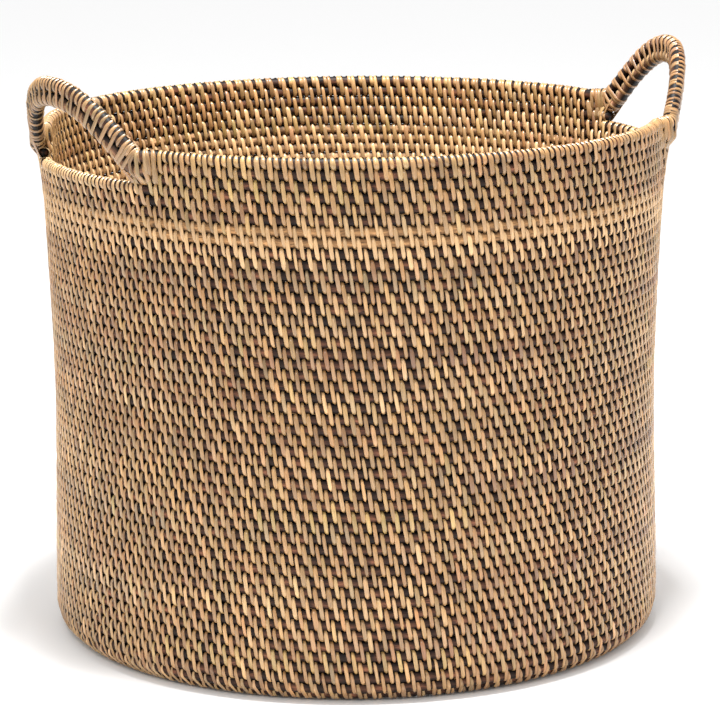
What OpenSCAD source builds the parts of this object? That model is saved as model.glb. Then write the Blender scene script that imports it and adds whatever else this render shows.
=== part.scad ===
// Round laundry basket, coiled from wrapped cane.
// The cane starts at a button in the middle of the base, runs outward as a flat spiral, turns up
// round a tight corner and climbs to the rim. Its last two turns lift off the wall in two places
// and make the carrying handles, and the turn below them is left out of each hand hole. Each node
// of the coil is one length of cane that makes a few turns. All sizes are in millimetres, with
// z = 0 on the floor and the axis of the basket on z.

/* [Body] */
// Outside diameter at the rim
rim_d = 500; // [420:1:600]
// Outside diameter just above the corner
foot_d = 496; // [420:1:600]
// How far the wall draws in at half height, on each side
waist_in = 4.5; // [0:0.5:12]
// Lengths of cane in the wall between the corner and the rim
wall_lengths = 15; // [6:1:15]
// Lengths of cane in the flat base
base_lengths = 6; // [4:1:6]
// Radius of the corner, measured to the middle of the cane
corner_r = 16; // [14:0.5:18]

/* [Cane] */
// Diameter of a turn with its wrapping
coil_d = 8.5; // [8:0.1:9]
// Step between the turns of one length, where the wrapping bites in
turn_pitch = 8.25; // [7.8:0.05:8.4]
// Gap between one length and the next
join_gap = 0.05; // [0.02:0.01:0.2]
// Depth of the flat worn on the underside of the base turns
wear_depth = 0.2; // [0.1:0.05:0.5]

/* [Handles] */
// Direction of each handle from the front of the basket
handle_angle = 80; // [60:1:90]
// Angle from a handle's middle to its foot
handle_half_span = 19.5; // [15:0.5:30]
// Height of the left handle above the rim
left_rise = 49.5; // [35:0.5:70]
// Height of the right handle above the rim
right_rise = 56; // [35:0.5:70]
// How far a handle leans out at its top
handle_lean = 20.5; // [5:0.5:30]
// How far the cane stands out where a handle leaves the rim
foot_lean = 9; // [0:0.5:12]
// Diameter of the bare cane in a handle
handle_rod_d = 10.2; // [8:0.1:11]
// Width of one lashing strip
lashing_w = 3.6; // [2:0.1:5]
// Thickness of one lashing strip
lashing_t = 0.7; // [0.4:0.1:1]
// Lashings on each handle
lashings = 18; // [8:1:20]

/* [Hidden] */

coil_r = coil_d / 2;
join_pitch = coil_d + join_gap;
base_z = coil_r - wear_depth;

// Turns in one length of cane, in the base and in the wall
base_turns = 4;
wall_turns = 3;
start_turns = 3;
base_stride = (base_turns - 1) * turn_pitch + join_pitch;
wall_stride = (wall_turns - 1) * turn_pitch + join_pitch;

// Heights of the turns
corner_z = base_z + corner_r;
wall_z = corner_z + join_pitch;
top_turn_z = wall_z + (wall_lengths - 1) * wall_stride + (wall_turns - 1) * turn_pitch;
rim_low_z = top_turn_z + join_pitch;
rim_high_z = rim_low_z + turn_pitch;
rim_top = rim_high_z + coil_r;

// The corner's turns stand at these angles round its arc, from straight down
corner_angles = [30, 60, 90];
corner_axis_r = outer_r(corner_z) - coil_r - corner_r;
corner_rise = corner_r * (1 - cos(corner_angles[0]));
base_outer_r = corner_axis_r + corner_r * sin(corner_angles[0])
    - sqrt(join_pitch * join_pitch - corner_rise * corner_rise);
start_outer_r = base_outer_r - base_lengths * base_stride;

// The handle rods bend away from the rim over this angle beyond each foot
run_out = 4;
rod_half_span = handle_half_span + run_out;
// The wall's top turn runs on under each foot by this angle, and ends in the hand hole
top_turn_reach = 5;
// Step between the two rods of a handle, with the wrapping between them
rod_pitch = handle_rod_d + 2 * lashing_t + join_gap;
rod_steps = 44;
rod_sides = 10;
// Shape of the arch: how square its shoulders are, and how softly it leaves the rim
shoulder = 2.3;
foot_softness = 1.15;
// The rods reach their full thickness after this share of the rise
swell_share = 0.25;
lashing_gap = 0.15;
// The lashings cover this share of a handle's half span
lashed_share = 0.84;

ring_fn = 180;
lobe_fn = 32;
bow_fn = 12;

honey = "#c79a63";
straw = "#d2ab76";
amber = "#b98a52";
dark_cane = "#5a3b2a";

// Outside radius of the wall at height z
function outer_r(z) =
    let (share = z / 420)
    (foot_d + (rim_d - foot_d) * share) / 2 - waist_in * pow(sin(180 * share), 2);

// Middle of a wall turn at height z, as [radius, height]
function wall_turn(z) = [outer_r(z) - coil_r, z];

function base_turn(r) = [r, base_z];

function corner_turn(angle) =
    [corner_axis_r + corner_r * sin(angle), corner_z - corner_r * cos(angle)];

// Solid of revolution with one round lobe for each turn of cane
module turns(centres, start = 0, angle = 360) {
    rotate([0, 0, start])
        rotate_extrude(angle = angle, $fn = ring_fn)
            for (centre = centres)
                translate(centre)
                    circle(r = coil_r, $fn = lobe_fn);
}

// Turns that rest on the floor have a narrow flat worn on their underside
module worn_turns(centres) {
    inner = min([for (centre = centres) centre[0]]) - coil_d;
    outer = max([for (centre = centres) centre[0]]) + coil_d;
    rotate_extrude($fn = ring_fn)
        difference() {
            for (centre = centres)
                translate(centre)
                    circle(r = coil_r, $fn = lobe_fn);
            translate([inner, -coil_r])
                square([outer - inner, coil_r]);
        }
}

// Button in the middle of the base, and the first turns round it
module base_start() {
    inner_r = start_outer_r - start_turns * turn_pitch;
    color(amber) {
        worn_turns([for (i = [0 : start_turns - 1]) base_turn(start_outer_r - i * turn_pitch)]);
        cylinder(r = inner_r + coil_r, h = base_z + coil_r * 0.8, $fn = 48);
    }
}

// One length of the flat spiral, the first of them at the rim of the base
module base_coil(length) {
    outer = base_outer_r - (length - 1) * base_stride;
    color(length % 2 == 0 ? straw : honey)
        worn_turns([for (i = [0 : base_turns - 1]) base_turn(outer - i * turn_pitch)]);
}

// The turns that lead from the base up into the wall
module corner_coil() {
    color(amber)
        turns([for (angle = corner_angles) corner_turn(angle)]);
}

// One length of the wall, counted from the bottom
module wall_coil(length) {
    low = wall_z + (length - 1) * wall_stride;
    color(length % 2 == 0 ? straw : honey)
        turns([for (i = [0 : wall_turns - 1]) wall_turn(low + i * turn_pitch)]);
}

// The last length of the wall, with its top turn left out where the hand holes are
module last_wall_coil() {
    low = wall_z + (wall_lengths - 1) * wall_stride;
    color(honey) {
        turns([for (i = [0 : wall_turns - 2]) wall_turn(low + i * turn_pitch)]);
        for (arc = [[front_start, front_sweep], [back_start, back_sweep]])
            turns([wall_turn(top_turn_z)], arc[0] - top_turn_reach, arc[1] + 2 * top_turn_reach);
    }
}

// The last two turns, between the handles; start and angle are measured from the +X side
module rim_coil(start, angle) {
    color(amber)
        turns([wall_turn(rim_low_z), wall_turn(rim_high_z)], start, angle);
}

// Share of the full rise at a place on the arch, where u runs from -1 to 1 between the feet
function arch(u) = abs(u) >= 1 ? 0 : pow(1 - pow(abs(u), shoulder), foot_softness);

function ease(t) = let (x = max(0, min(1, t))) x * x * (3 - 2 * x);

// How far the rods stand out from the wall, a degrees from the handle's middle
function lean(a) =
    foot_lean * ease((rod_half_span - abs(a)) / run_out)
    + (handle_lean - foot_lean) * arch(a / handle_half_span);

// Share of a rod's change from rim size to handle size
function swell(a) = min(1, arch(a / handle_half_span) / swell_share);

function rod_r(a) = coil_r + (handle_rod_d / 2 - coil_r) * swell(a);

// Middle of the outer rod, on a handle in the +X direction
function outer_rod_point(a, rise) =
    let (
        r = outer_r(rim_high_z) - coil_r + lean(a),
        top = rim_top + rise - handle_rod_d / 2 - lashing_t,
        z = rim_high_z + (top - rim_high_z) * arch(a / handle_half_span)
    )
    [r * cos(a), r * sin(a), z];

function unit(v) = v / norm(v);

// Direction of the outer rod, and the direction across it from the hand hole outward
function along(a, rise) = unit(outer_rod_point(a + 0.1, rise) - outer_rod_point(a - 0.1, rise));

function across(a, rise) = unit(cross([cos(a), sin(a), 0], along(a, rise)));

// Middle of the inner rod, which follows the outer one on the side of the hand hole
function inner_rod_point(a, rise) =
    let (
        step = turn_pitch + (rod_pitch - turn_pitch) * swell(a),
        set_in = (outer_r(rim_low_z) - outer_r(rim_high_z)) * (1 - swell(a)),
        point = outer_rod_point(a, rise) - step * across(a, rise)
    )
    point + set_in * [cos(a), sin(a), 0];

// Round rod along a list of points, with one radius for each point
module swept_rod(points, radii) {
    count = len(points);
    last = count - 1;
    vertices = [
        for (i = [0 : last])
            let (
                ahead = unit(points[min(last, i + 1)] - points[max(0, i - 1)]),
                side = unit(cross(ahead, [0, 0, 1])),
                up = cross(side, ahead)
            )
            for (k = [0 : rod_sides - 1])
                let (turn = 360 * k / rod_sides)
                points[i] + radii[i] * (cos(turn) * side + sin(turn) * up)
    ];
    walls = [
        for (i = [0 : last - 1], k = [0 : rod_sides - 1])
            let (
                a = i * rod_sides + k,
                b = i * rod_sides + (k + 1) % rod_sides
            )
            for (face = [[a, a + rod_sides, b], [b, a + rod_sides, b + rod_sides]]) face
    ];
    near_end = [for (k = [0 : rod_sides - 1]) k];
    far_end = [for (k = [rod_sides - 1 : -1 : 0]) last * rod_sides + k];
    polyhedron(points = vertices, faces = concat(walls, [near_end, far_end]));
}

function rod_angle(i) = -rod_half_span + 2 * rod_half_span * i / rod_steps;

// Gap left at each end of a rod, where it butts against the rim coil
function inset_angle(i) =
    rod_angle(i) * (1 - join_gap / (outer_r(rim_high_z) * rod_half_span * PI / 180));

module handle_outer_rod(direction, rise) {
    angles = [for (i = [0 : rod_steps]) inset_angle(i)];
    color(dark_cane)
        rotate([0, 0, direction])
            swept_rod([for (a = angles) outer_rod_point(a, rise)], [for (a = angles) rod_r(a)]);
}

module handle_inner_rod(direction, rise) {
    angles = [for (i = [0 : rod_steps]) inset_angle(i)];
    color(dark_cane)
        rotate([0, 0, direction])
            swept_rod([for (a = angles) inner_rod_point(a, rise)], [for (a = angles) rod_r(a)]);
}

// Outline of a band round two rods that stand a distance apart
function bow(r, apart) = [
    for (i = [0 : bow_fn]) let (t = 180 * i / bow_fn) [r * cos(t), r * sin(t) + apart / 2],
    for (i = [0 : bow_fn]) let (t = 180 + 180 * i / bow_fn) [r * cos(t), r * sin(t) - apart / 2]
];

// One strip tied round both rods of a handle
module lashing(a, rise) {
    outer_point = outer_rod_point(a, rise);
    inner_point = inner_rod_point(a, rise);
    middle = (outer_point + inner_point) / 2;
    apart = norm(outer_point - inner_point);
    up = unit(outer_point - inner_point);
    ahead = along(a, rise);
    side = unit(cross(up, ahead));
    inner_r = rod_r(a) + lashing_gap;
    multmatrix([
        [side[0], up[0], ahead[0], middle[0]],
        [side[1], up[1], ahead[1], middle[1]],
        [side[2], up[2], ahead[2], middle[2]],
        [0, 0, 0, 1]
    ])
        translate([0, 0, -lashing_w / 2])
            linear_extrude(height = lashing_w)
                difference() {
                    polygon(bow(inner_r + lashing_t, apart));
                    polygon(bow(inner_r, apart));
                }
}

module handle_lashings(direction, rise) {
    reach = handle_half_span * lashed_share;
    color(straw)
        rotate([0, 0, direction])
            for (i = [0 : lashings - 1])
                lashing(-reach + 2 * reach * i / (lashings - 1), rise);
}

// The front of the basket faces -Y, and directions turn from +X toward +Y
right_direction = handle_angle - 90;
left_direction = 270 - handle_angle;
front_start = left_direction + rod_half_span;
front_sweep = 360 + right_direction - left_direction - 2 * rod_half_span;
back_start = right_direction + rod_half_span;
back_sweep = left_direction - right_direction - 2 * rod_half_span;

base_start();
base_coil(1);  // base_coil_1
base_coil(2);  // base_coil_2
base_coil(3);  // base_coil_3
base_coil(4);  // base_coil_4
base_coil(5);  // base_coil_5
base_coil(6);  // base_coil_6
corner_coil();
wall_coil(1);  // wall_coil_01
wall_coil(2);  // wall_coil_02
wall_coil(3);  // wall_coil_03
wall_coil(4);  // wall_coil_04
wall_coil(5);  // wall_coil_05
wall_coil(6);  // wall_coil_06
wall_coil(7);  // wall_coil_07
wall_coil(8);  // wall_coil_08
wall_coil(9);  // wall_coil_09
wall_coil(10);  // wall_coil_10
wall_coil(11);  // wall_coil_11
wall_coil(12);  // wall_coil_12
wall_coil(13);  // wall_coil_13
wall_coil(14);  // wall_coil_14
last_wall_coil();  // wall_coil_15
rim_coil(front_start, front_sweep);  // rim_coil_front
rim_coil(back_start, back_sweep);  // rim_coil_back
handle_outer_rod(left_direction, left_rise);  // handle_left_outer_rod
handle_inner_rod(left_direction, left_rise);  // handle_left_inner_rod
handle_lashings(left_direction, left_rise);  // handle_left_lashings
handle_outer_rod(right_direction, right_rise);  // handle_right_outer_rod
handle_inner_rod(right_direction, right_rise);  // handle_right_inner_rod
handle_lashings(right_direction, right_rise);  // handle_right_lashings
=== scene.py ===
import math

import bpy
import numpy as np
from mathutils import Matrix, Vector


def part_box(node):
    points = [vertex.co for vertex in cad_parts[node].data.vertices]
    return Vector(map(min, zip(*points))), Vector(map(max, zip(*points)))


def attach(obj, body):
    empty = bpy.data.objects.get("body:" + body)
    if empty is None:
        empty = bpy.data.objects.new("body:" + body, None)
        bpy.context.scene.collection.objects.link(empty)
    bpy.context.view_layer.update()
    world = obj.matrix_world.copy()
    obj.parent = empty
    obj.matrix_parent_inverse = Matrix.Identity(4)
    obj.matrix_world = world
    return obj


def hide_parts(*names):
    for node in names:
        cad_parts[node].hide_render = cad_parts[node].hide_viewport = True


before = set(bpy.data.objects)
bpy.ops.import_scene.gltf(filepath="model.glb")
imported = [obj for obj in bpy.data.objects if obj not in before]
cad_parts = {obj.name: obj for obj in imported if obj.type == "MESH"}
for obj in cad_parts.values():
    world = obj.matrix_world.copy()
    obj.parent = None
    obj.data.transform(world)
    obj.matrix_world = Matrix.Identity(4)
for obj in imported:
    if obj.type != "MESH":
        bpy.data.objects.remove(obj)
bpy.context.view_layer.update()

# Round laundry basket, coiled from dark cane and bound with split cane.
# Every binding strip is real geometry: a long stitch goes round two turns of cane, and a short
# wrap goes round one turn where nothing lies on top of it, as on the rim and the handles.
# Rows count the turns of cane from the middle of the base outward and up to the rim. All sizes
# are in metres, and angles go round the basket from +X toward +Y.

# Camera
VIEW_AZIMUTH = -21.5
VIEW_DISTANCE = 2.4
VIEW_HEIGHT = 0.739
AIM_HEIGHT = 0.213
AIM_RIGHT = 0.0045
VIEW_ROLL = -0.5
LENS_MM = 149.5

# Light and floor: each light's name, place, size and power in watts
LIGHTS = [
    ("key", (-1.5, -2.4, 2.6), 0.4, 20),
    ("top", (-0.05, -0.2, 1.7), 0.35, 56),
]
LIGHT_AIM = (0, 0, 0.22)
ROOM_STRENGTH = 1.0
FLOOR_HALF = 12
FLOOR_COLOUR = (0.93, 0.93, 0.93, 1)
FLOOR_ROUGHNESS = 0.9

# Cane and its binding
COIL_D = 0.0085
COIL_R = COIL_D / 2
TURN_PITCH = 0.00825
CORNER_R = 0.016
CORNER_ANGLES = (30, 60, 90)
CORE_R = 0.0042
BASE_CORE_R = 0.0038
BASE_LIFT = 0.001
BUTTON_R = 0.0029
STITCH_PITCH = 0.0098
HALF_PITCH = STITCH_PITCH / 2
STITCH_SHARE = 0.54
FIRST_STITCHES = 7
SMOOTHING = 0.25
STRIP_W = 0.0031
RIM_STRIP_W = 0.0036
HANDLE_STRIP_W = 0.0031
STRIP_T = 0.00078
STRIP_LIFT = 0.00003
LONG_SLANT = 0.0066
RIM_SLANT = 0.0060
LOWER_LIFT = 0.0001
END_TAPER = 0.3
# Painted shade and stain: how much each strip darkens toward its lower end
LOW_END_STAIN_AND_SHADE = 0.3
WOBBLE = 0.00022
PLACE_JITTER = 0.0003

# Handles, with angles in degrees
HANDLE_ANGLE = 80
HALF_SPAN = 19.5
RIM_MARGIN = 0.4
RUN_OUT = 4
LEAN = 0.0205
FOOT_LEAN = 0.009
HANDLE_CORE_R = 0.0053
ROD_PITCH = 0.0107
SHOULDER = 2.3
FOOT_SOFTNESS = 1.15
BULGE_ROWS = 3.0
BULGE_SHARE = 0.6
TOP_TURN_END = 17.8
LAST_TIE = -0.8
INNER_WRAP_END = 18.6
INNER_WRAP_SHIFT = 0.0014
FOOT_TIES = (18.1, 18.9, 19.8, 20.8, 21.9)
FOOT_SLANT = 0.003
HANDLE_SHADE = 0.8

WALL_NODES = [f"wall_coil_{i:02d}" for i in range(1, 16)]
BASE_NODES = [f"base_coil_{i}" for i in range(1, 7)]
BASE_TURNS = 4
WALL_TURNS = 3
START_TURNS = 3

SMALL_ANGLE = 1e-3
rng = np.random.default_rng(7)


def add_camera():
    """A long lens at the height of a table, to the left of the basket's front."""
    data = bpy.data.cameras.new("camera")
    data.lens = LENS_MM
    data.sensor_width = 36
    camera = bpy.data.objects.new("camera", data)
    bpy.context.scene.collection.objects.link(camera)
    turn = math.radians(VIEW_AZIMUTH)
    right = Vector((math.cos(turn), math.sin(turn), 0))
    place = Vector((math.sin(turn), -math.cos(turn), 0)) * VIEW_DISTANCE
    place.z = VIEW_HEIGHT
    aim = right * AIM_RIGHT + Vector((0, 0, AIM_HEIGHT))
    look = (aim - place).to_track_quat("-Z", "Y").to_matrix().to_4x4()
    roll = Matrix.Rotation(math.radians(VIEW_ROLL), 4, "Z")
    camera.matrix_world = Matrix.Translation(place) @ look @ roll
    bpy.context.scene.camera = camera


add_camera()


# ---------------------------------------------------------------- where the turns of cane lie


def flat_turns(node, turns):
    """The middle of each turn of a flat length of cane as (radius, height), from the inside out."""
    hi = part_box(node)[1]
    outside_in = [(hi[0] - COIL_R - i * TURN_PITCH, hi[2] - COIL_R) for i in range(turns)]
    return outside_in[::-1]


def turn_table():
    """The middle of each turn of cane as (radius, height), from the base's button to the rim."""
    rows = flat_turns("base_start", START_TURNS)
    for node in reversed(BASE_NODES):
        rows += flat_turns(node, BASE_TURNS)
    rows = [(r, z + BASE_LIFT) for r, z in rows]
    rows.insert(0, (BUTTON_R, rows[0][1]))
    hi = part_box("corner_coil")[1]
    arc_r = hi[0] - COIL_R - CORNER_R
    arc_z = hi[2] - COIL_R
    for angle in np.radians(CORNER_ANGLES):
        rows.append((arc_r + CORNER_R * math.sin(angle), arc_z - CORNER_R * math.cos(angle)))
    boxes = [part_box(node) for node in WALL_NODES]
    middles = [(lo[2] + hi[2]) / 2 for lo, hi in boxes]
    radii = [hi[0] - COIL_R for lo, hi in boxes]
    for lo, hi in boxes:
        for z in np.linspace(lo[2] + COIL_R, hi[2] - COIL_R, WALL_TURNS):
            rows.append((float(np.interp(z, middles, radii)), z))
    lo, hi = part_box("rim_coil_back")
    for z in (lo[2] + COIL_R, hi[2] - COIL_R):
        rows.append((hi[1] - COIL_R, z))
    return np.array(rows)


TURNS = turn_table()
OUTER_ROD = len(TURNS) - 1
INNER_ROD = OUTER_ROD - 1
TOP_TURN = OUTER_ROD - 2
LOW_RIM = OUTER_ROD - 3
RIM_TOP = TURNS[OUTER_ROD, 1] + COIL_R
LAST_BASE_ROW = START_TURNS + len(BASE_NODES) * BASE_TURNS
HANDLES = {
    "left": (270 - HANDLE_ANGLE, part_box("handle_left_outer_rod")[1][2] - RIM_TOP),
    "right": (HANDLE_ANGLE - 90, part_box("handle_right_outer_rod")[1][2] - RIM_TOP),
}

# How much of one step each turn climbs as it goes round. The base is a true spiral, which
# flattens out into level turns just before the corner.
LAST_CLIMBS = (0.8, 0.6, 0.35, 0.15)
CLIMB = np.zeros(len(TURNS))
CLIMB[: LAST_BASE_ROW + 1] = 1
CLIMB[LAST_BASE_ROW + 1 - len(LAST_CLIMBS) : LAST_BASE_ROW + 1] = LAST_CLIMBS
# Share of the way round over which the end of one turn is eased into the start of the next
SEAM_SHARE = 0.04


def ease(x):
    """A smooth step from 0 to 1."""
    x = np.clip(x, 0, 1)
    return x * x * (3 - 2 * x)


def spiral_row(row, share):
    """The fractional row that a turn has reached at a share of the way round."""
    start = row - CLIMB[row] / 2
    end = row + CLIMB[row] / 2
    join_start = join_end = row
    if row > 0 and CLIMB[row - 1] > 0.5:
        join_start = (start + row - 1 + CLIMB[row - 1] / 2) / 2
    if CLIMB[row] > 0.5:
        join_end = (end + row + 1 - CLIMB[row + 1] / 2) / 2
    level = start + (end - start) * share
    level = level + (join_start - start) * (1 - ease(share / SEAM_SHARE))
    return level + (join_end - end) * (1 - ease((1 - share) / SEAM_SHARE))


def from_handle(angles, side):
    """Angle from the middle of a handle, in degrees from -180 to 180."""
    return (np.degrees(angles) - HANDLES[side][0] + 180) % 360 - 180


def arch(off):
    """Share of a handle's full rise, at an angle from its middle."""
    u = np.clip(np.abs(off) / HALF_SPAN, 0, 1)
    return (1 - u**SHOULDER) ** FOOT_SOFTNESS


def foot_window(off):
    """1 between the feet of a handle, falling to 0 just past them."""
    return ease((HALF_SPAN + RUN_OUT - np.abs(off)) / RUN_OUT)


def swell(angles):
    """Share of the change from rim cane to the thicker handle cane."""
    total = np.zeros_like(angles)
    for side in HANDLES:
        total = np.maximum(total, foot_window(from_handle(angles, side)))
    return total


def outer_rod(angles):
    """Middle of the topmost turn, which lifts off the rim to make both handles."""
    r = np.full_like(angles, TURNS[OUTER_ROD, 0])
    z = np.full_like(angles, TURNS[OUTER_ROD, 1])
    for side, (_, rise) in HANDLES.items():
        off = from_handle(angles, side)
        lift = arch(off)
        r = r + FOOT_LEAN * foot_window(off) + (LEAN - FOOT_LEAN) * lift
        z = z + (RIM_TOP + rise - HANDLE_CORE_R - STRIP_T - TURNS[OUTER_ROD, 1]) * lift
    return np.stack([r * np.cos(angles), r * np.sin(angles), z], -1)


def unit(v):
    return v / np.linalg.norm(v, axis=-1, keepdims=True)


def outward(angles):
    return np.stack([np.cos(angles), np.sin(angles), np.zeros_like(angles)], -1)


def inner_rod(angles):
    """Middle of the turn under the topmost one, on the hand hole's side of it in a handle."""
    along = direction(OUTER_ROD, angles)
    out = outward(angles)
    across = unit(np.cross(out, along))
    apart = TURN_PITCH + (ROD_PITCH - TURN_PITCH) * swell(angles)
    return outer_rod(angles) - apart[..., None] * across


# Waves round the basket that make each kind of unevenness, and the first seed of each kind
THICKNESS_WAVES = (9, 14, 23)
OUT_WAVES, OUT_SEED = (3, 5, 8, 13), 300
UP_WAVES, UP_SEED = (2, 5, 7, 11), 400
PATCH_WAVES, PATCH_SEED = (7, 19, 31, 47, 71, 93), 100


def noise_on_ring(angles, waves, seed):
    """Smooth random values from -1 to 1 that join up round the basket."""
    local = np.random.default_rng(seed)
    total = np.zeros_like(angles)
    for wave in waves:
        total += local.uniform(0.5, 1) * np.sin(wave * angles + local.uniform(0, 2 * np.pi))
    return total / len(waves)


def cane_middle(row, angles):
    """Middle of the cane of one row, at these angles round the basket."""
    if row == OUTER_ROD:
        return outer_rod(angles)
    if row == INNER_ROD:
        return inner_rod(angles)
    level = spiral_row(row, (angles / (2 * np.pi)) % 1)
    r = np.interp(level, np.arange(len(TURNS)), TURNS[:, 0])
    z = np.interp(level, np.arange(len(TURNS)), TURNS[:, 1])
    if LAST_BASE_ROW < row:
        r = r + WOBBLE * noise_on_ring(angles, OUT_WAVES, OUT_SEED + row)
        z = z + WOBBLE * noise_on_ring(angles, UP_WAVES, UP_SEED + row)
    fade = math.exp(-max(0, TOP_TURN - row) / BULGE_ROWS)
    for side in HANDLES:
        r = r + BULGE_SHARE * FOOT_LEAN * fade * foot_window(from_handle(angles, side))
    return np.stack([r * np.cos(angles), r * np.sin(angles), z], -1)


def direction(row, angles):
    """The way that the cane of one row runs."""
    ahead = cane_middle(row, angles + SMALL_ANGLE)
    return unit(ahead - cane_middle(row, angles - SMALL_ANGLE))


def cane_radius(row, angles):
    if row >= INNER_ROD:
        return CORE_R + (HANDLE_CORE_R - CORE_R) * swell(angles)
    return np.full_like(angles, BASE_CORE_R if row <= LAST_BASE_ROW else CORE_R)


# ---------------------------------------------------------------- mesh building


def grid_quads(strips, rows, columns, wrap_rows=False, wrap_columns=False):
    """Faces of several grids of points, each grid rows by columns, joined round if wrapped."""
    i = np.arange(rows if wrap_rows else rows - 1)
    j = np.arange(columns if wrap_columns else columns - 1)
    s, i, j = np.meshgrid(np.arange(strips), i, j, indexing="ij")
    i_next = (i + 1) % rows
    j_next = (j + 1) % columns
    base = s * rows * columns
    around = ((i, j), (i, j_next), (i_next, j_next), (i_next, j))
    corners = [base + a * columns + b for a, b in around]
    return np.stack(corners, -1).reshape(-1, 4)


def add_piece(name, points, quads, tint, grain, normals, material, nodes):
    """Makes a mesh from numpy arrays and puts it on the basket in place of its CAD nodes."""
    points = points.reshape(-1, 3)
    first = points[quads[0]]
    facing = np.cross(first[1] - first[0], first[3] - first[0])
    if np.dot(facing, normals.reshape(-1, 3)[quads[0][0]]) < 0:
        quads = quads[:, ::-1]
    mesh = bpy.data.meshes.new(name)
    mesh.vertices.add(len(points))
    mesh.vertices.foreach_set("co", points.astype(np.float32).ravel())
    mesh.loops.add(quads.size)
    mesh.loops.foreach_set("vertex_index", quads.astype(np.int32).ravel())
    mesh.polygons.add(len(quads))
    mesh.polygons.foreach_set("loop_start", np.arange(0, quads.size, 4, dtype=np.int32))
    mesh.polygons.foreach_set("use_smooth", np.ones(len(quads), dtype=bool))
    mesh.update(calc_edges=True)
    colour = mesh.attributes.new("tint", "FLOAT_COLOR", "POINT")
    rgba = np.ones((len(points), 4), np.float32)
    rgba[:, :3] = tint.reshape(-1, 3)
    colour.data.foreach_set("color", rgba.ravel())
    vector = mesh.attributes.new("grain", "FLOAT_VECTOR", "POINT")
    vector.data.foreach_set("vector", grain.reshape(-1, 3).astype(np.float32).ravel())
    mesh.materials.append(material)
    piece = bpy.data.objects.new(name, mesh)
    bpy.context.scene.collection.objects.link(piece)
    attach(piece, "root")
    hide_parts(*nodes)
    return piece


# ---------------------------------------------------------------- colours

STRAW = (0.385, 0.222, 0.088)
HONEY = (0.345, 0.180, 0.066)
PALE = (0.49, 0.305, 0.145)
AMBER = (0.32, 0.155, 0.058)
RUSSET = (0.21, 0.09, 0.040)
ASH = (0.33, 0.215, 0.11)
GREEN_STRAW = (0.38, 0.25, 0.085)
STRIP_PALETTE = np.array([STRAW, HONEY, PALE, AMBER, RUSSET, ASH, GREEN_STRAW])
STRIP_ODDS = np.array([0.42, 0.27, 0.14, 0.07, 0.02, 0.04, 0.04])
# Painted shade: the near-black colour in the grooves between the turns of cane
GROOVE_SHADE_CANE = np.array((0.002, 0.001, 0.001))
FACE_CANE = np.array((0.070, 0.027, 0.014))
# Painted light: the inside faces of the wall's cane are painted lighter than the outside
PAINTED_LIGHT_INSIDE_CANE = np.array((0.30, 0.165, 0.080))
BROWN_CANE = np.array((0.15, 0.075, 0.042))
PALE_CANE = np.array((0.45, 0.235, 0.098))
# Cane: how fast painted shade darkens a face into its grooves, and how much its patches differ
GROOVE_SHADE_STEEP = 7
GROOVE_SHADE_SOFT = 3
DARK_CONTRAST = 3
PALE_CONTRAST = 0.6
PATCH_LEVEL = 0.8
PATCH_LIMITS = (0.15, 3)
# Two turns high on the wall are pale
PALE_ROWS = (OUTER_ROD - 7, OUTER_ROD - 6)
PALE_ROW_SHARE = 0.7
PALE_ROW_BOOST = 1.25

# How much the stitches differ: the length and shade of a run cut from one strip, a stitch's own
# share of another colour, and the spread of its brightness and hue
RUN_STITCHES = (8, 40)
RUN_SHADES = (0.86, 1.1)
OWN_SHARES = (0.15, 0.6)
BRIGHTNESS_SPREAD = 0.12
HUE_SPREAD = 0.02
TINT_LIMITS = (0.02, 0.9)
SHADED_TINT_LIMITS = (0.01, 0.9)


def strip_tints(count, row):
    """One colour for each stitch. Runs of stitches cut from one strip are alike, but no two are
    the same."""
    tints = np.empty((count, 3))
    done = 0
    while done < count:
        run = int(rng.integers(*RUN_STITCHES))
        tone = STRIP_PALETTE[rng.choice(len(STRIP_PALETTE), p=STRIP_ODDS)]
        tints[done : done + run] = tone * rng.uniform(*RUN_SHADES)
        done += run
    own = STRIP_PALETTE[rng.choice(len(STRIP_PALETTE), count, p=STRIP_ODDS)]
    share = rng.uniform(*OWN_SHARES, (count, 1))
    tints = tints * (1 - share) + own * share
    tints *= rng.normal(1, BRIGHTNESS_SPREAD, (count, 1))
    tints *= rng.normal(1, HUE_SPREAD, (count, 3))
    if row in PALE_ROWS or row + 1 in PALE_ROWS:
        pale = PALE_ROW_BOOST * np.array(PALE)
        tints = (1 - PALE_ROW_SHARE) * tints + PALE_ROW_SHARE * pale
    return np.clip(tints, *TINT_LIMITS)


# ---------------------------------------------------------------- cane

CANE_SIDES = 12
CANE_STEPS = 288
HANDLE_STEPS = 72
# A rounded end: distances from its tip, and the share of the radius squared that is left there
END_STEPS = np.array([0, 0.0001, 0.0004, 0.0009, 0.0016, 0.0024])
END_POINT = 0.0001
THICKNESS_SPREAD = 0.015
GRAIN_ROUND = 0.3
GRAIN_ROW = 0.37


def cane_tube(row, angles, rounded):
    """Points, outward directions and attributes of the cane of one row."""
    middle = cane_middle(row, angles)
    along = direction(row, angles)
    out = outward(angles)
    side = unit(out - (out * along).sum(-1, keepdims=True) * along)
    up = np.cross(along, side)
    turn = np.linspace(0, 2 * np.pi, CANE_SIDES, endpoint=False)
    normal = side[:, None] * np.cos(turn)[None, :, None] + up[:, None] * np.sin(turn)[None, :, None]
    uneven = 1 + THICKNESS_SPREAD * noise_on_ring(angles, THICKNESS_WAVES, row)
    radius = cane_radius(row, angles) * uneven
    if rounded:
        from_end = np.minimum(angles - angles[0], angles[-1] - angles) * TURNS[row, 0]
        short = 1 - np.clip(from_end / END_STEPS[-1], 0, 1)
        radius = radius * np.sqrt(1 + END_POINT - short**2)
    points = middle[:, None] + normal * radius[:, None, None]
    length = angles[:, None] * TURNS[row, 0]
    round_it = turn[None, :] * GRAIN_ROUND
    grain = np.stack(np.broadcast_arrays(length, round_it, row * GRAIN_ROW), -1)
    return points, normal, grain


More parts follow.
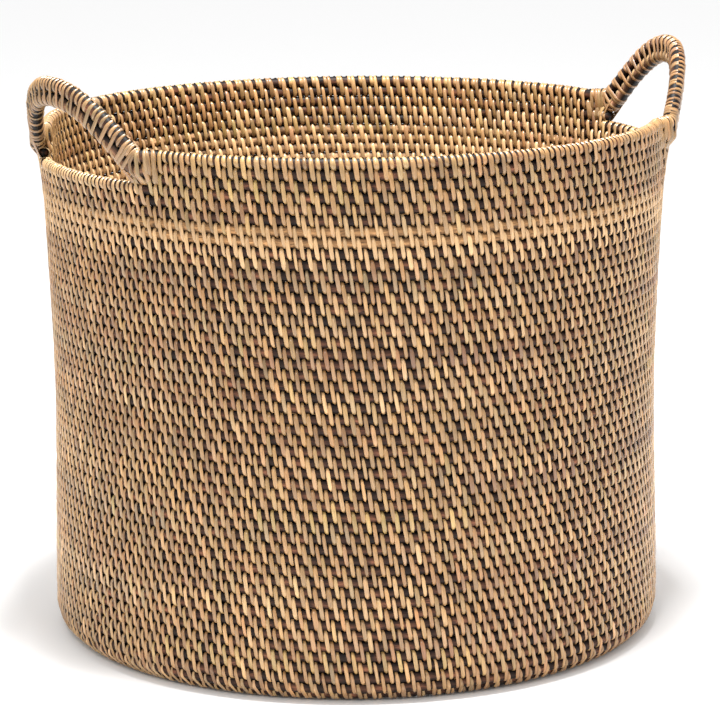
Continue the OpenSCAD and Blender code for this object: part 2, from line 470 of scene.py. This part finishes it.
def cane_tint(row, angles, face):
    """Brown faces, with painted shade that darkens them into the grooves between the turns. The
    wall's cane is painted paler inside, as painted light.
    """
    patches = noise_on_ring(angles, PATCH_WAVES, PATCH_SEED + row)
    contrast = PALE_CONTRAST if row in PALE_ROWS else DARK_CONTRAST
    shade = np.clip(PATCH_LEVEL * np.exp(contrast * patches), *PATCH_LIMITS)
    turn = np.linspace(0, 2 * np.pi, CANE_SIDES, endpoint=False)
    # Painted light on the wall's inside faces, with softer painted shade in their grooves
    inside = (np.cos(turn) < 0) & (LAST_BASE_ROW < row < LOW_RIM - 1)
    groove = np.where(inside | (row in PALE_ROWS), GROOVE_SHADE_SOFT, GROOVE_SHADE_STEEP)
    # Painted shade: each face darkens toward the top and bottom of its cane, where the turns meet
    unshaded_share = np.abs(np.cos(turn)) ** groove
    face = np.where(inside[:, None], PAINTED_LIGHT_INSIDE_CANE, face)[None] * shade[:, None, None]
    return GROOVE_SHADE_CANE + (face - GROOVE_SHADE_CANE) * unshaded_share[None, :, None]


def add_cane(name, rows, nodes, material, arc=None, face=FACE_CANE, rounded=False):
    """Bare cane of some rows, all the way round or over an arc given in degrees."""
    points, normals, grains, tints, quads = [], [], [], [], []
    offset = 0
    for row in rows:
        if arc is None:
            angles = np.linspace(0, 2 * np.pi, CANE_STEPS + 1)
        else:
            steps = max(HANDLE_STEPS, int(abs(arc[1] - arc[0]) / 360 * CANE_STEPS))
            angles = np.radians(np.linspace(arc[0], arc[1], steps + 1))
            if rounded:
                cap = END_STEPS / TURNS[row, 0]
                angles = np.concatenate([angles[0] + cap, angles[1:-1], angles[-1] - cap[::-1]])
        p, n, g = cane_tube(row, angles, rounded)
        colour = PALE_CANE if row in PALE_ROWS else face
        quads.append(grid_quads(1, len(angles), CANE_SIDES, wrap_columns=True) + offset)
        points.append(p.reshape(-1, 3))
        normals.append(n.reshape(-1, 3))
        grains.append(g.reshape(-1, 3))
        tints.append(cane_tint(row, angles, colour).reshape(-1, 3))
        offset += p.shape[0] * p.shape[1]
    add_piece(
        name,
        np.concatenate(points),
        np.concatenate(quads),
        np.concatenate(tints),
        np.concatenate(grains),
        np.concatenate(normals),
        material,
        nodes,
    )


# ---------------------------------------------------------------- binding

# A long stitch starts on top of the upper cane, goes down the outside, under the lower cane and
# up the inside. Each point is (share from the lower to the upper cane, angle round the cane from
# the top through the outside).
LONG_LOOP = [(1, 0), (1, 28), (1, 56), (1, 82), (0.5, 90), (0, 98), (0, 124), (0, 152), (0, 180)]
LONG_LOOP += [(0, 208), (0, 236), (0, 262), (0.5, 270), (1, 278), (1, 304), (1, 332), (1, 360)]
SHORT_LOOP = [(1, angle) for angle in range(0, 361, 30)]
# Cross-section of a strip: the rounded skin side, with both edges down on the cane
STRIP_ACROSS = np.array([-1, -0.72, 0, 0.72, 1])
STRIP_CROWN = np.array([0, 0.64, 1, 0.64, 0])
# Spread of what differs from strip to strip, as a share of its mean, or in radians for the roll
ADVANCE_SPREAD = 0.09
RADIUS_SPREAD = 0.012
WIDTH_SPREAD = 0.08
THICK_SPREAD = 0.08
ROLL_SPREAD = 0.10
SHADE_SPREAD = 0.1
GRAIN_SEEDS = 50
# Gaps between stitches closer in size than this share count as equal
EQUAL_GAPS = 0.02
# Points along a handle that its stitches are measured out on
ROUTE_POINTS = 801


def loop_progress(loop):
    """Share of a strip's length that has been laid at each point of its loop."""
    turn = np.radians(loop[:, 1])
    up = loop[:, 0] * TURN_PITCH + COIL_R * np.cos(turn)
    out = COIL_R * np.sin(turn)
    steps = np.hypot(np.diff(up), np.diff(out))
    run = np.concatenate([[0], np.cumsum(steps)])
    return run / run[-1]


def strip_path(row, starts, loop, advance, first_shift):
    """Points on the cane under each strip, and the outward direction at each point."""
    count = len(starts)
    upper_share = loop[:, 0][None]
    turn = np.radians(loop[:, 1])[None]
    ahead = cane_middle(row, starts + SMALL_ANGLE) - cane_middle(row, starts - SMALL_ANGLE)
    arc_length = np.linalg.norm(ahead, axis=-1) / (2 * SMALL_ANGLE)
    advance = advance * rng.normal(1, ADVANCE_SPREAD, (count, 1))
    slide = (first_shift + advance * loop_progress(loop)[None]) / arc_length[:, None]
    flat = (starts[:, None] + slide).ravel()
    upper = cane_middle(row, flat)
    lower = cane_middle(row - 1, flat)
    up = unit(upper - lower)
    out = unit(np.cross(direction(row, flat), up))
    shape = (count, loop.shape[0], 3)
    upper, lower, up, out = (a.reshape(shape) for a in (upper, lower, up, out))
    share = upper_share[..., None]
    centre = lower * (1 - share) + upper * share
    away = up * np.cos(turn)[..., None] + out * np.sin(turn)[..., None]
    radius = cane_radius(row, flat).reshape(shape[:2]) * upper_share
    radius = radius + cane_radius(row - 1, flat).reshape(shape[:2]) * (1 - upper_share)
    radius = radius + STRIP_LIFT + LOWER_LIFT * (1 - upper_share)
    radius = radius * rng.normal(1, RADIUS_SPREAD, (count, 1))
    return centre + away * radius[..., None], away


def strip_widths(row, starts, turn):
    """Widths along each strip: rim strips are wider, and all taper at the top and the bottom."""
    full_width = RIM_STRIP_W if row in (OUTER_ROD, LOW_RIM) else STRIP_W
    full_width = full_width + (HANDLE_STRIP_W - full_width) * swell(starts)[:, None]
    taper = 1 - END_TAPER * np.cos(turn) ** 2
    return full_width * rng.normal(1, WIDTH_SPREAD, (len(starts), 1)) * taper


def wound_strips(row, starts, loop, advance, strip_colours, first_shift=0.0):
    """Strips wound round the cane of a row and the row under it, one strip for each start."""
    count = len(starts)
    loop = np.array(loop, float)
    turn = np.radians(loop[:, 1])[None]
    path, away = strip_path(row, starts, loop, advance, first_shift)
    across = unit(np.cross(away, np.gradient(path, axis=1)))
    width = strip_widths(row, starts, turn)
    thick = STRIP_T * rng.normal(1, THICK_SPREAD, (count, 1)) * np.ones_like(turn)
    roll = rng.normal(0, ROLL_SPREAD, (count, 1, 1))
    skin = unit(away + across * roll)
    points = (
        path[:, :, None]
        + across[:, :, None] * (STRIP_ACROSS[None, None, :, None] * width[..., None, None] / 2)
        + skin[:, :, None] * (STRIP_CROWN[None, None, :, None] * thick[..., None, None])
    )
    normals = np.repeat(skin[:, :, None], len(STRIP_ACROSS), axis=2)
    steps = np.linalg.norm(np.diff(path, axis=1, prepend=path[:, :1]), axis=-1)
    length = np.cumsum(steps, axis=1)[..., None]
    seed = rng.uniform(0, GRAIN_SEEDS, (count, 1, 1))
    grain = np.stack(np.broadcast_arrays(length, STRIP_ACROSS[None, None, :], seed), -1)
    # Painted shade and stain: each strip darkens toward its lower end, where it goes in between the
    # turns
    shade = 1 - LOW_END_STAIN_AND_SHADE * np.clip(-np.cos(turn), 0, 1) ** 2
    shade = shade * (1 + rng.normal(0, SHADE_SPREAD, (count, 1)) * np.sin(turn))
    tint = strip_colours[:, None, None] * shade[..., None, None]
    tint = np.broadcast_to(np.clip(tint, *SHADED_TINT_LIMITS), points.shape)
    quads = grid_quads(count, loop.shape[0], len(STRIP_ACROSS))
    return points, quads, tint, grain, normals


def gaps_after(angles):
    return np.diff(np.append(angles, angles[0] + 2 * np.pi))


def widest_gaps(gaps, extra):
    order = np.argsort(-gaps * rng.uniform(1 - EQUAL_GAPS, 1 + EQUAL_GAPS, len(gaps)))
    return np.sort(order[:extra])


def stitch_table():
    """The angle of every long stitch, row by row. A stitch goes in just past the middle between
    two stitches of the row before, and extra ones go in the widest gaps as the rows grow."""
    table = [np.zeros(0)]
    angles = np.linspace(0, 2 * np.pi, FIRST_STITCHES, endpoint=False)
    table.append(angles)
    for row in range(2, len(TURNS)):
        gaps = gaps_after(angles)
        wanted = round(2 * np.pi * TURNS[row, 0] / STITCH_PITCH)
        extra = max(0, wanted - len(angles))
        split = widest_gaps(gaps, extra)
        share = np.full(len(angles), STITCH_SHARE)
        share[split] = 1 / 3
        placed = angles + share * gaps
        added = angles[split] + gaps[split] * 2 / 3
        angles = np.sort(np.concatenate([placed, added]))
        before = np.roll(angles, 1)
        before[0] -= 2 * np.pi
        after = np.roll(angles, -1)
        after[-1] += 2 * np.pi
        angles = angles + SMOOTHING * (before + after - 2 * angles)
        table.append(angles)
    return table


STITCHES = stitch_table()


def in_handle(angles, margin):
    """True where an angle lies between the feet of a handle, with a margin in degrees."""
    inside = np.zeros(len(angles), bool)
    for side in HANDLES:
        inside |= np.abs(from_handle(angles, side)) < HALF_SPAN + margin
    return inside


def even_steps(first, last):
    """Angles at even steps along the topmost turn, between two stitches that are already there."""
    fine = np.radians(np.linspace(first, last, ROUTE_POINTS))
    lengths = np.linalg.norm(np.diff(outer_rod(fine), axis=0), axis=1)
    run = np.concatenate([[0], np.cumsum(lengths)])
    count = round(run[-1] / STITCH_PITCH)
    return np.interp(np.arange(1, count) / count * run[-1], run, fine)


def split_top_row():
    """The topmost row's stitches, as those on the rim's two arcs and those on each handle."""
    angles = STITCHES[OUTER_ROD]
    rim = angles[~in_handle(angles, RIM_MARGIN)]
    handles = {}
    for side, (middle, _) in HANDLES.items():
        off = from_handle(rim, side)
        first = middle + off[off < 0].max()
        last = middle + off[off > 0].min()
        handles[side] = even_steps(first, last)
    return rim, handles


def add_binding(name, parts, nodes, material):
    """One piece from several sets of strips, each (row, starts, loop, advance, shift, colours)."""
    points, quads, tints, grains, normals = [], [], [], [], []
    offset = 0
    for row, starts, loop, advance, shift, colours in parts:
        if len(starts) == 0:
            continue
        p, q, t, g, n = wound_strips(row, starts, loop, advance, colours, shift)
        points.append(p.reshape(-1, 3))
        tints.append(t.reshape(-1, 3))
        grains.append(g.reshape(-1, 3))
        normals.append(n.reshape(-1, 3))
        quads.append(q + offset)
        offset += len(points[-1])
    add_piece(
        name,
        np.concatenate(points),
        np.concatenate(quads),
        np.concatenate(tints),
        np.concatenate(grains),
        np.concatenate(normals),
        material,
        nodes,
    )


def short_wraps(row, starts, colours):
    """Wraps round one turn of cane, halfway between its long stitches."""
    return (row, starts, SHORT_LOOP, STITCH_PITCH - RIM_SLANT, HALF_PITCH, colours)


def row_parts(row):
    """The strips of one full row: long stitches, and short wraps where its cane is on top."""
    starts = STITCHES[row]
    if row == TOP_TURN:
        starts = starts[~in_handle(starts, TOP_TURN_END - HALF_SPAN)]
    elif row == INNER_ROD:
        starts = starts[~in_handle(starts, LAST_TIE)]
    count = len(starts)
    colours = strip_tints(count, row)
    starts = starts + rng.normal(0, PLACE_JITTER, count) / TURNS[row, 0]
    parts = [(row, starts, LONG_LOOP, LONG_SLANT, 0.0, colours)]
    if row == LOW_RIM:
        bare = in_handle(starts, TOP_TURN_END - HALF_SPAN)
    elif row == TOP_TURN:
        bare = in_handle(starts, LAST_TIE)
    else:
        bare = np.zeros(count, bool)
    if bare.any():
        parts.append(short_wraps(row, starts[bare], colours[bare]))
    return parts


def handle_tints(count, row):
    return HANDLE_SHADE * strip_tints(count, row)


def inner_rod_wraps(starts, side):
    """Wraps round a handle's inner rod alone, between its long stitches."""
    starts = starts[np.abs(from_handle(starts, side)) < INNER_WRAP_END]
    colours = handle_tints(len(starts), INNER_ROD)
    advance = HALF_PITCH - INNER_WRAP_SHIFT
    return (INNER_ROD, starts, SHORT_LOOP, advance, HALF_PITCH + INNER_WRAP_SHIFT, colours)


def foot_ties(row):
    """Extra stitches, close together, where the rods of a handle come down to the rim."""
    offs = np.concatenate([-np.array(FOOT_TIES), FOOT_TIES])
    starts = np.concatenate([np.radians(middle + offs) for middle, _ in HANDLES.values()])
    starts = starts % (2 * np.pi)
    loop = SHORT_LOOP if row == TOP_TURN else LONG_LOOP
    return (row, starts, loop, FOOT_SLANT, 0.0, handle_tints(len(starts), row))


def top_parts(starts, tints=strip_tints):
    """Long stitches and short wraps on the topmost row, for the rim or a handle."""
    colours = tints(len(starts), OUTER_ROD)
    starts = starts + rng.normal(0, PLACE_JITTER, len(starts)) / TURNS[OUTER_ROD, 0]
    long_stitches = (OUTER_ROD, starts, LONG_LOOP, RIM_SLANT, 0.0, colours)
    return [long_stitches, short_wraps(OUTER_ROD, starts, colours)]


def within(parts, arc):
    """The strips of some parts that start on an arc, given in degrees."""
    kept = []
    for row, starts, loop, advance, shift, colours in parts:
        on_arc = (np.degrees(starts) - arc[0]) % 360 < arc[1] - arc[0]
        kept.append((row, starts[on_arc], loop, advance, shift, colours[on_arc]))
    return kept


# ---------------------------------------------------------------- materials


COAT_ROUGHNESS = 0.16
CANE_IOR = 1.5
# Streaks and fibres are noise, stretched along the strip: its length, its width, its seed
STREAK_STRETCH = (90, 2.6, 3.1)
STREAK_SCALE = 1.6
STREAK_DETAIL = 4
STREAK_RANGE = (0.3, 0.7)
FIBRE_STRETCH = (260, 9, 3.1)
FIBRE_DETAIL = 3
FIBRE_HEIGHT = 0.0002


def add_node(tree, kind, **values):
    node = tree.nodes.new(kind)
    for key, value in values.items():
        setattr(node, key, value)
    return node


def stretched_noise(tree, grain, stretch, scale, detail):
    spread = add_node(tree, "ShaderNodeVectorMath", operation="MULTIPLY")
    spread.inputs[1].default_value = stretch
    tree.links.new(grain.outputs["Vector"], spread.inputs[0])
    noise = add_node(tree, "ShaderNodeTexNoise")
    noise.inputs["Scale"].default_value = scale
    noise.inputs["Detail"].default_value = detail
    tree.links.new(spread.outputs[0], noise.inputs["Vector"])
    return noise


def grain_material(name, roughness, coat, shine, streak_strength, bump_strength):
    """Split or round cane: the colour comes with the mesh, and fine streaks run along it."""
    material = bpy.data.materials.new(name)
    material.use_nodes = True
    tree = material.node_tree
    shader = tree.nodes["Principled BSDF"]
    shader.inputs["Roughness"].default_value = roughness
    shader.inputs["Coat Weight"].default_value = coat
    shader.inputs["Coat Roughness"].default_value = COAT_ROUGHNESS
    shader.inputs["Specular IOR Level"].default_value = shine
    shader.inputs["IOR"].default_value = CANE_IOR

    tint = add_node(tree, "ShaderNodeAttribute", attribute_name="tint")
    grain = add_node(tree, "ShaderNodeAttribute", attribute_name="grain")
    streaks = stretched_noise(tree, grain, STREAK_STRETCH, STREAK_SCALE, STREAK_DETAIL)
    spread = add_node(tree, "ShaderNodeMapRange")
    spread.inputs["From Min"].default_value = STREAK_RANGE[0]
    spread.inputs["From Max"].default_value = STREAK_RANGE[1]
    spread.inputs["To Min"].default_value = 1 - streak_strength
    spread.inputs["To Max"].default_value = 1 + streak_strength
    tree.links.new(streaks.outputs["Fac"], spread.inputs["Value"])
    shade = add_node(tree, "ShaderNodeVectorMath", operation="SCALE")
    tree.links.new(tint.outputs["Color"], shade.inputs[0])
    tree.links.new(spread.outputs["Result"], shade.inputs["Scale"])
    tree.links.new(shade.outputs[0], shader.inputs["Base Color"])

    fibres = stretched_noise(tree, grain, FIBRE_STRETCH, 1, FIBRE_DETAIL)
    bump = add_node(tree, "ShaderNodeBump")
    bump.inputs["Strength"].default_value = bump_strength
    bump.inputs["Distance"].default_value = FIBRE_HEIGHT
    tree.links.new(fibres.outputs["Fac"], bump.inputs["Height"])
    tree.links.new(bump.outputs["Normal"], shader.inputs["Normal"])
    return material


def paint_floor():
    material = bpy.data.materials.new("floor")
    material.use_nodes = True
    shader = material.node_tree.nodes["Principled BSDF"]
    shader.inputs["Base Color"].default_value = FLOOR_COLOUR
    shader.inputs["Roughness"].default_value = FLOOR_ROUGHNESS
    return material


# ---------------------------------------------------------------- the basket


def rim_arcs(reach):
    """The two arcs of the rim that lie more than an angle from the middle of either handle."""
    left, right = HANDLES["left"][0], HANDLES["right"][0]
    return {
        "front": (left + reach, right + 360 - reach),
        "back": (right + reach, left - reach),
    }


def build_length(name, node, first_row, turns, cane, strip):
    """One length of wrapped cane in the base or the corner. Returns the row after its last."""
    rows = range(first_row, first_row + turns)
    add_cane(f"{name}_cane", rows, [node], cane)
    parts = [part for row in rows for part in row_parts(row)]
    add_binding(f"{name}_binding", parts, [node], strip)
    return rows.stop


def build_base(cane, strip):
    """The base and the corner. Returns the first row of the wall."""
    add_cane("base_start_cane", range(START_TURNS + 1), ["base_start"], cane)
    parts = [part for row in range(1, START_TURNS + 1) for part in row_parts(row)]
    add_binding("base_start_binding", parts, ["base_start"], strip)
    row = START_TURNS + 1
    for node in reversed(BASE_NODES):
        row = build_length(node, node, row, BASE_TURNS, cane, strip)
    return build_length("corner", "corner_coil", row, len(CORNER_ANGLES), cane, strip)


def build_wall(row, cane, strip):
    """The wall from its first row up. The top turn is left out where the handles are."""
    for node in WALL_NODES:
        rows = list(range(row, row + WALL_TURNS))
        parts = [part for r in rows for part in row_parts(r)]
        add_binding(f"{node}_binding", parts, [node], strip)
        if TOP_TURN in rows:
            rows.remove(TOP_TURN)
            for place, arc in rim_arcs(TOP_TURN_END).items():
                name = f"top_turn_{place}_cane"
                add_cane(name, (TOP_TURN,), [node], cane, arc, rounded=True)
        add_cane(f"{node}_cane", rows, [node], cane)
        row += WALL_TURNS


def build_rim(rim_starts, cane, strip):
    parts = row_parts(INNER_ROD) + top_parts(rim_starts)
    parts += [foot_ties(row) for row in (TOP_TURN, INNER_ROD, OUTER_ROD)]
    halves = rim_arcs(0)
    for place, arc in rim_arcs(HALF_SPAN + RUN_OUT).items():
        node = f"rim_coil_{place}"
        add_cane(f"{node}_cane", (INNER_ROD, OUTER_ROD), [node], cane, arc)
        add_binding(f"{node}_binding", within(parts, halves[place]), [node], strip)


def build_handle(side, starts, cane, strip):
    middle = HANDLES[side][0]
    reach = HALF_SPAN + RUN_OUT
    arc = (middle - reach, middle + reach)
    for rod, row, face in (("outer", OUTER_ROD, FACE_CANE), ("inner", INNER_ROD, BROWN_CANE)):
        node = f"handle_{side}_{rod}_rod"
        add_cane(f"{node}_cane", (row,), [node], cane, arc, face)
    node = f"handle_{side}_lashings"
    parts = top_parts(starts, handle_tints) + [inner_rod_wraps(starts, side)]
    add_binding(f"handle_{side}_binding", parts, [node], strip)


def build_basket():
    cane = grain_material(
        "stained_cane", roughness=0.55, coat=0, shine=0.2, streak_strength=0.8, bump_strength=0.7
    )
    strip = grain_material(
        "binding_strip", roughness=0.36, coat=0.4, shine=0.5, streak_strength=0.32, bump_strength=0.5
    )
    first_wall_row = build_base(cane, strip)
    build_wall(first_wall_row, cane, strip)
    rim_starts, handle_starts = split_top_row()
    build_rim(rim_starts, cane, strip)
    for side in HANDLES:
        build_handle(side, handle_starts[side], cane, strip)


def build_floor():
    mesh = bpy.data.meshes.new("floor")
    corners = [(-FLOOR_HALF, -FLOOR_HALF, 0), (FLOOR_HALF, -FLOOR_HALF, 0)]
    corners += [(FLOOR_HALF, FLOOR_HALF, 0), (-FLOOR_HALF, FLOOR_HALF, 0)]
    mesh.from_pydata(corners, [], [(0, 1, 2, 3)])
    mesh.materials.append(paint_floor())
    floor = bpy.data.objects.new("floor", mesh)
    bpy.context.scene.collection.objects.link(floor)


def build_stage():
    """A pale floor that fills the view, a soft key light, a light from above and a bright room."""
    build_floor()
    world = bpy.data.worlds.new("room")
    bpy.context.scene.world = world
    world.use_nodes = True
    background = world.node_tree.nodes["Background"]
    background.inputs["Color"].default_value = (1, 1, 1, 1)
    background.inputs["Strength"].default_value = ROOM_STRENGTH

    for name, place, size, power in LIGHTS:
        data = bpy.data.lights.new(name, "AREA")
        data.energy = power
        data.size = size
        light = bpy.data.objects.new(name, data)
        light.location = place
        aim = Vector(LIGHT_AIM) - Vector(place)
        light.rotation_euler = aim.to_track_quat("-Z", "Y").to_euler()
        bpy.context.scene.collection.objects.link(light)


build_basket()
build_stage()
bpy.context.scene.view_settings.view_transform = "Standard"
